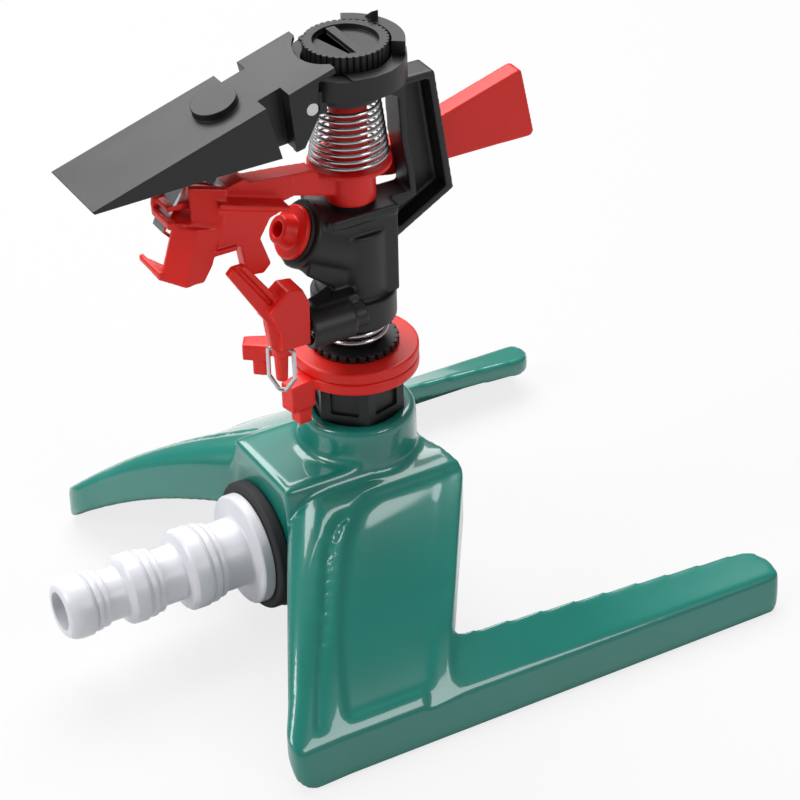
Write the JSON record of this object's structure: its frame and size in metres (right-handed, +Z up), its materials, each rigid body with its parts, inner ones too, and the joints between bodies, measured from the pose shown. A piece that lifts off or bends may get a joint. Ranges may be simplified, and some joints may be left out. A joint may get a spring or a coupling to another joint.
{
  "type": "part-circle sprinkler",
  "caption": "Part-circle impact sprinkler head with diffuser and trip rings on a cast two-runner base with a barbed hose tail.",
  "frame": {"origin": "centre of the bounding box at ground level, which is the spindle axis to about a millimetre", "axes": "+Z up the spindle, +X along the runners, hose tail toward -X, nozzle toward -X at rest"},
  "size_m": [0.1531, 0.1208, 0.1419],
  "materials": {
    "cast_paint": "gloss enamel",
    "black_plastic": "satin moulded",
    "red_plastic": "satin moulded",
    "white_plastic": "gloss moulded",
    "spring_steel": "bright drawn wire",
    "black_rubber": "matt",
    "brass": "turned"
  },
  "bodies": {
    "base": {"base_casting": "cast_paint", "hose_tail": "white_plastic", "inlet_gasket": "black_rubber", "hex_nipple": "black_plastic", "retaining_flange": "black_plastic"},
    "ring_lower": {"trip_ring_lower": "red_plastic"},
    "ring_upper": {"trip_ring_upper": "red_plastic"},
    "head": {"sprinkler_body": "black_plastic", "spindle_tube": "brass", "seal_washer": "black_rubber", "friction_washer": "white_plastic", "dust_spring": "spring_steel", "fulcrum_pin": "spring_steel", "hammer_washer": "white_plastic", "nozzle": "red_plastic", "nozzle_seal": "black_rubber", "flow_straightener": "white_plastic", "crown_ring": "black_plastic", "arm_spring": "spring_steel", "trip_shaft": "spring_steel", "trip_spring": "spring_steel"},
    "hammer": {"hammer_arm": "red_plastic", "splash_strip": "spring_steel"},
    "knob": {"range_knob": "black_plastic"},
    "diffuser": {"deflector": "black_plastic", "deflector_pin": "spring_steel"},
    "lever": {"trip_lever": "red_plastic"},
    "wire": {"trip_wire": "spring_steel"}
  },
  "joints": [
    {"name": "ring_lower_turn", "type": "hinge", "parent": "base", "child": "ring_lower", "pos_m": [0, 0, 0.0615], "axis": [0, 0, 1], "continuous": true},
    {"name": "ring_upper_turn", "type": "hinge", "parent": "base", "child": "ring_upper", "pos_m": [0, 0, 0.0643], "axis": [0, 0, 1], "continuous": true},
    {"name": "head_turn", "type": "hinge", "parent": "base", "child": "head", "pos_m": [0, 0, 0.09], "axis": [0, 0, 1], "continuous": true},
    {"name": "hammer_swing", "type": "hinge", "parent": "head", "child": "hammer", "pos_m": [0, 0, 0.107], "axis": [0, 0, 1], "range_deg": [0, 100], "stiffness_Nm_per_rad": 0.015, "springref_deg": -20.05},
    {"name": "knob_turn", "type": "hinge", "parent": "head", "child": "knob", "pos_m": [0, 0, 0.136], "axis": [0, 0, 1], "range_deg": [0, 300]},
    {"name": "diffuser_tilt", "type": "hinge", "parent": "head", "child": "diffuser", "pos_m": [-0.0134, 0, 0.1312], "axis": [0, 1, 0], "range_deg": [0, 10]},
    {"name": "lever_toggle", "type": "hinge", "parent": "head", "child": "lever", "pos_m": [-0.0205, -0.0099, 0.0794], "axis": [1, 0, 0], "range_deg": [-10, 10]},
    {"name": "wire_flip", "type": "hinge", "parent": "lever", "child": "wire", "pos_m": [-0.0234, -0.01, 0.0766], "axis": [-0.7071, 0.7071, 0], "range_deg": [0, 90]}
  ],
  "couplings": [
    {"joint": "diffuser_tilt", "follows": "knob_turn", "ratio": 0.033333}
  ]
}
